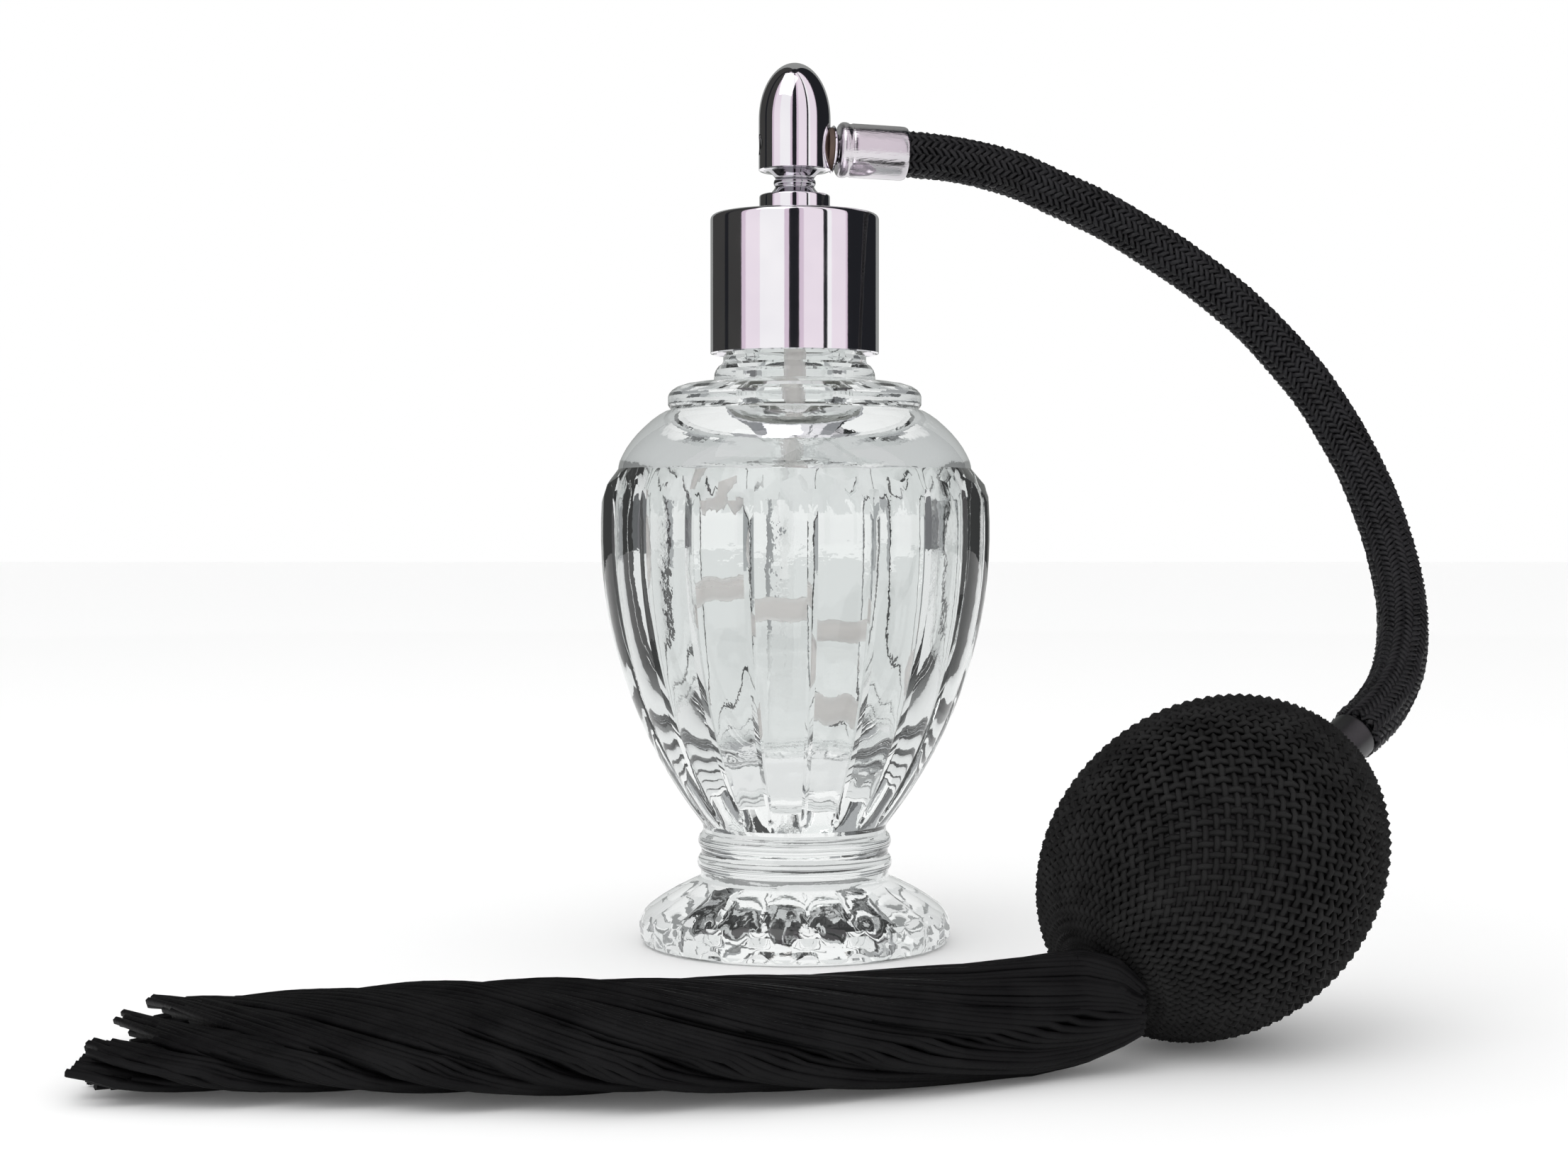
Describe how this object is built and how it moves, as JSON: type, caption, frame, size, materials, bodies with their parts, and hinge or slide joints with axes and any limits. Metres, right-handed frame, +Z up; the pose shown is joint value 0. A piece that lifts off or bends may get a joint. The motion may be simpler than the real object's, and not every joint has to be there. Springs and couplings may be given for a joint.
{
  "type": "perfume bottle",
  "caption": "Ribbed glass perfume bottle with a screw collar, swivelling spray head, braided hose, netted squeeze bulb with valves, and a long tassel.",
  "frame": {"origin": "centre of the glass foot's underside", "axes": "+Z up along the bottle's axis, -X the way the head sprays, +X the hose's side, -Y the side of the bulb and tassel"},
  "size_m": [0.1382, 0.1173, 0.1096],
  "materials": {
    "clear_glass": "clear pressed glass, polished",
    "bright_chrome": "bright polished plating",
    "white_liner": "moulded, natural white",
    "soft_seal": "soft grey sealing ring",
    "milky_tube": "milky extruded tube",
    "black_rubber": "black moulded rubber",
    "grey_metal": "satin grey metal",
    "fibre_washer": "brown pressed fibre",
    "black_braid": "fine black braid",
    "black_net": "black knitted net",
    "black_strands": "black twisted strands"
  },
  "bodies": {
    "glass": {"bottle": "clear_glass"},
    "insert": {"atomizer_base": "white_liner", "neck_gasket": "soft_seal", "dip_tube": "milky_tube", "swivel_o_ring": "black_rubber"},
    "collar": {"collar_shell": "bright_chrome", "collar_liner": "white_liner"},
    "head": {"stem_disc": "bright_chrome", "waist_stem": "bright_chrome", "head_shell": "bright_chrome", "head_core": "white_liner", "nozzle_insert": "grey_metal", "jet_tube": "grey_metal", "spigot": "bright_chrome", "spigot_washer": "fibre_washer", "hose_ferrule": "bright_chrome", "hose_rubber": "black_rubber", "hose_braid": "black_braid", "bulb_ferrule": "grey_metal", "bulb_stem": "grey_metal", "bulb_rubber": "black_rubber", "bulb_net": "black_net"},
    "outlet_ball": {"outlet_valve_ball": "white_liner"},
    "tail": {"inlet_valve_body": "grey_metal", "inlet_valve_cage": "white_liner"},
    "inlet_ball": {"inlet_valve_ball": "white_liner"},
    "knot": {"tassel_knot": "black_strands"},
    "tassel": {"tassel_cord": "black_strands", "tassel_cap": "black_strands", "tassel_skirt": "black_strands"}
  },
  "joints": [
    {"name": "collar_turn", "type": "hinge", "parent": "insert", "child": "collar", "pos_m": [0, 0, 0.082], "axis": [0, 0, 1], "range_deg": [0, 540]},
    {"name": "atomizer_lift", "type": "slide", "parent": "glass", "child": "insert", "axis": [0, 0, 1], "range_m": [0, 0.00476]},
    {"name": "head_swivel", "type": "hinge", "parent": "insert", "child": "head", "pos_m": [0, 0, 0.094], "axis": [0, 0, 1], "continuous": true},
    {"name": "bulb_squeeze", "type": "slide", "parent": "head", "child": "tail", "axis": [-0.6892, -0.5385, -0.4848], "range_m": [0, 0.0015], "stiffness_N_per_m": 300, "deforming": ["bulb_rubber", "bulb_net"]},
    {"name": "outlet_ball_lift", "type": "slide", "parent": "head", "child": "outlet_ball", "axis": [0.6892, 0.5385, 0.4848], "range_m": [0, 0.0006]},
    {"name": "inlet_ball_lift", "type": "slide", "parent": "tail", "child": "inlet_ball", "axis": [0.6892, 0.5385, 0.4848], "range_m": [0, 0.0006]},
    {"name": "tassel_swing", "type": "hinge", "parent": "tail", "child": "knot", "pos_m": [0.02576, -0.07162, 0.00596], "axis": [0, 0, 1], "range_deg": [-25, 35]},
    {"name": "tassel_lift", "type": "hinge", "parent": "knot", "child": "tassel", "pos_m": [0.02576, -0.07162, 0.00596], "axis": [-0.0349, 0.9994, 0], "range_deg": [0, 25]}
  ],
  "couplings": [
    {"joint": "collar_turn", "follows": "atomizer_lift", "rad_per_m": 1979}
  ]
}
